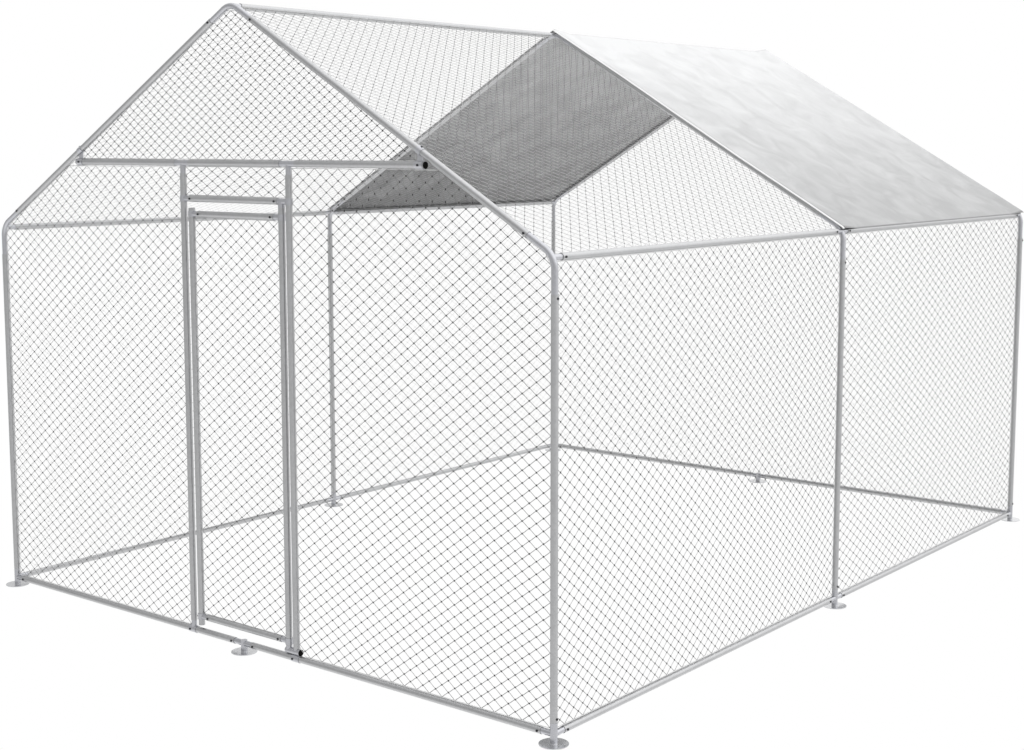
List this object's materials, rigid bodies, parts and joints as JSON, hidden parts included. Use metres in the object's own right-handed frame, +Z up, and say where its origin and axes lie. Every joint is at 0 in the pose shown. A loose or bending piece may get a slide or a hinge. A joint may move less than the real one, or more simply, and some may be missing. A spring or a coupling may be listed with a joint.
{
  "type": "chicken run",
  "caption": "Walk-in chicken run: galvanised tube frame with a gable roof, wire net on every side, a hinged door in one gable and a tarp over the rear half of the roof.",
  "frame": {"origin": "on the ground, in the middle of the run's footprint", "axes": "+Z up, -Y the gable with the door, +X to the right of someone who faces the door"},
  "size_m": [3.1, 4.024, 2.4636],
  "materials": {
    "tube": "galvanised satin",
    "fitting": "zinc plated satin",
    "foot": "zinc plated bright",
    "plug": "matt",
    "screw": "satin",
    "wire": "galvanised satin",
    "tarp": "coated woven sheet, satin"
  },
  "bodies": {
    "frame": {"front_left_post": "tube", "front_right_post": "tube", "mid_left_post": "tube", "mid_right_post": "tube", "rear_left_post": "tube", "rear_right_post": "tube", "front_left_rafter": "tube", "front_right_rafter": "tube", "mid_left_rafter": "tube", "mid_right_rafter": "tube", "rear_left_rafter": "tube", "rear_right_rafter": "tube", "ridge_rails": "tube", "left_eave_rails": "tube", "right_eave_rails": "tube", "left_base_rails": "tube", "right_base_rails": "tube", "front_sill": "tube", "rear_sill": "tube", "front_left_elbow": "fitting", "front_right_elbow": "fitting", "mid_left_elbow": "fitting", "mid_right_elbow": "fitting", "rear_left_elbow": "fitting", "rear_right_elbow": "fitting", "front_apex": "fitting", "mid_apex": "fitting", "rear_apex": "fitting", "front_left_foot": "foot", "front_right_foot": "foot", "mid_left_foot": "foot", "mid_right_foot": "foot", "rear_left_foot": "foot", "rear_right_foot": "foot", "front_centre_foot": "foot", "rear_centre_foot": "foot", "crossbar": "tube", "left_jamb": "tube", "right_jamb": "tube", "door_header": "tube", "crossbar_tees": "fitting", "crossbar_clamps": "fitting", "header_tee": "fitting", "hinge_head": "fitting", "jamb_foot": "fitting", "hinge_foot": "fitting", "end_plugs": "plug", "frame_screws": "screw", "front_nets": "wire", "rear_net": "wire", "wall_nets": "wire", "roof_nets": "wire", "roof_tarp": "tarp"},
    "door": {"hinge_stile": "tube", "latch_stile": "tube", "door_rails": "tube", "door_tees": "fitting", "door_screws": "screw", "door_net": "wire"}
  },
  "joints": [
    {"name": "door_hinge", "type": "hinge", "parent": "frame", "child": "door", "pos_m": [0.253, -1.962, 0.9], "axis": [0, 0, 1], "range_deg": [0, 120]}
  ]
}
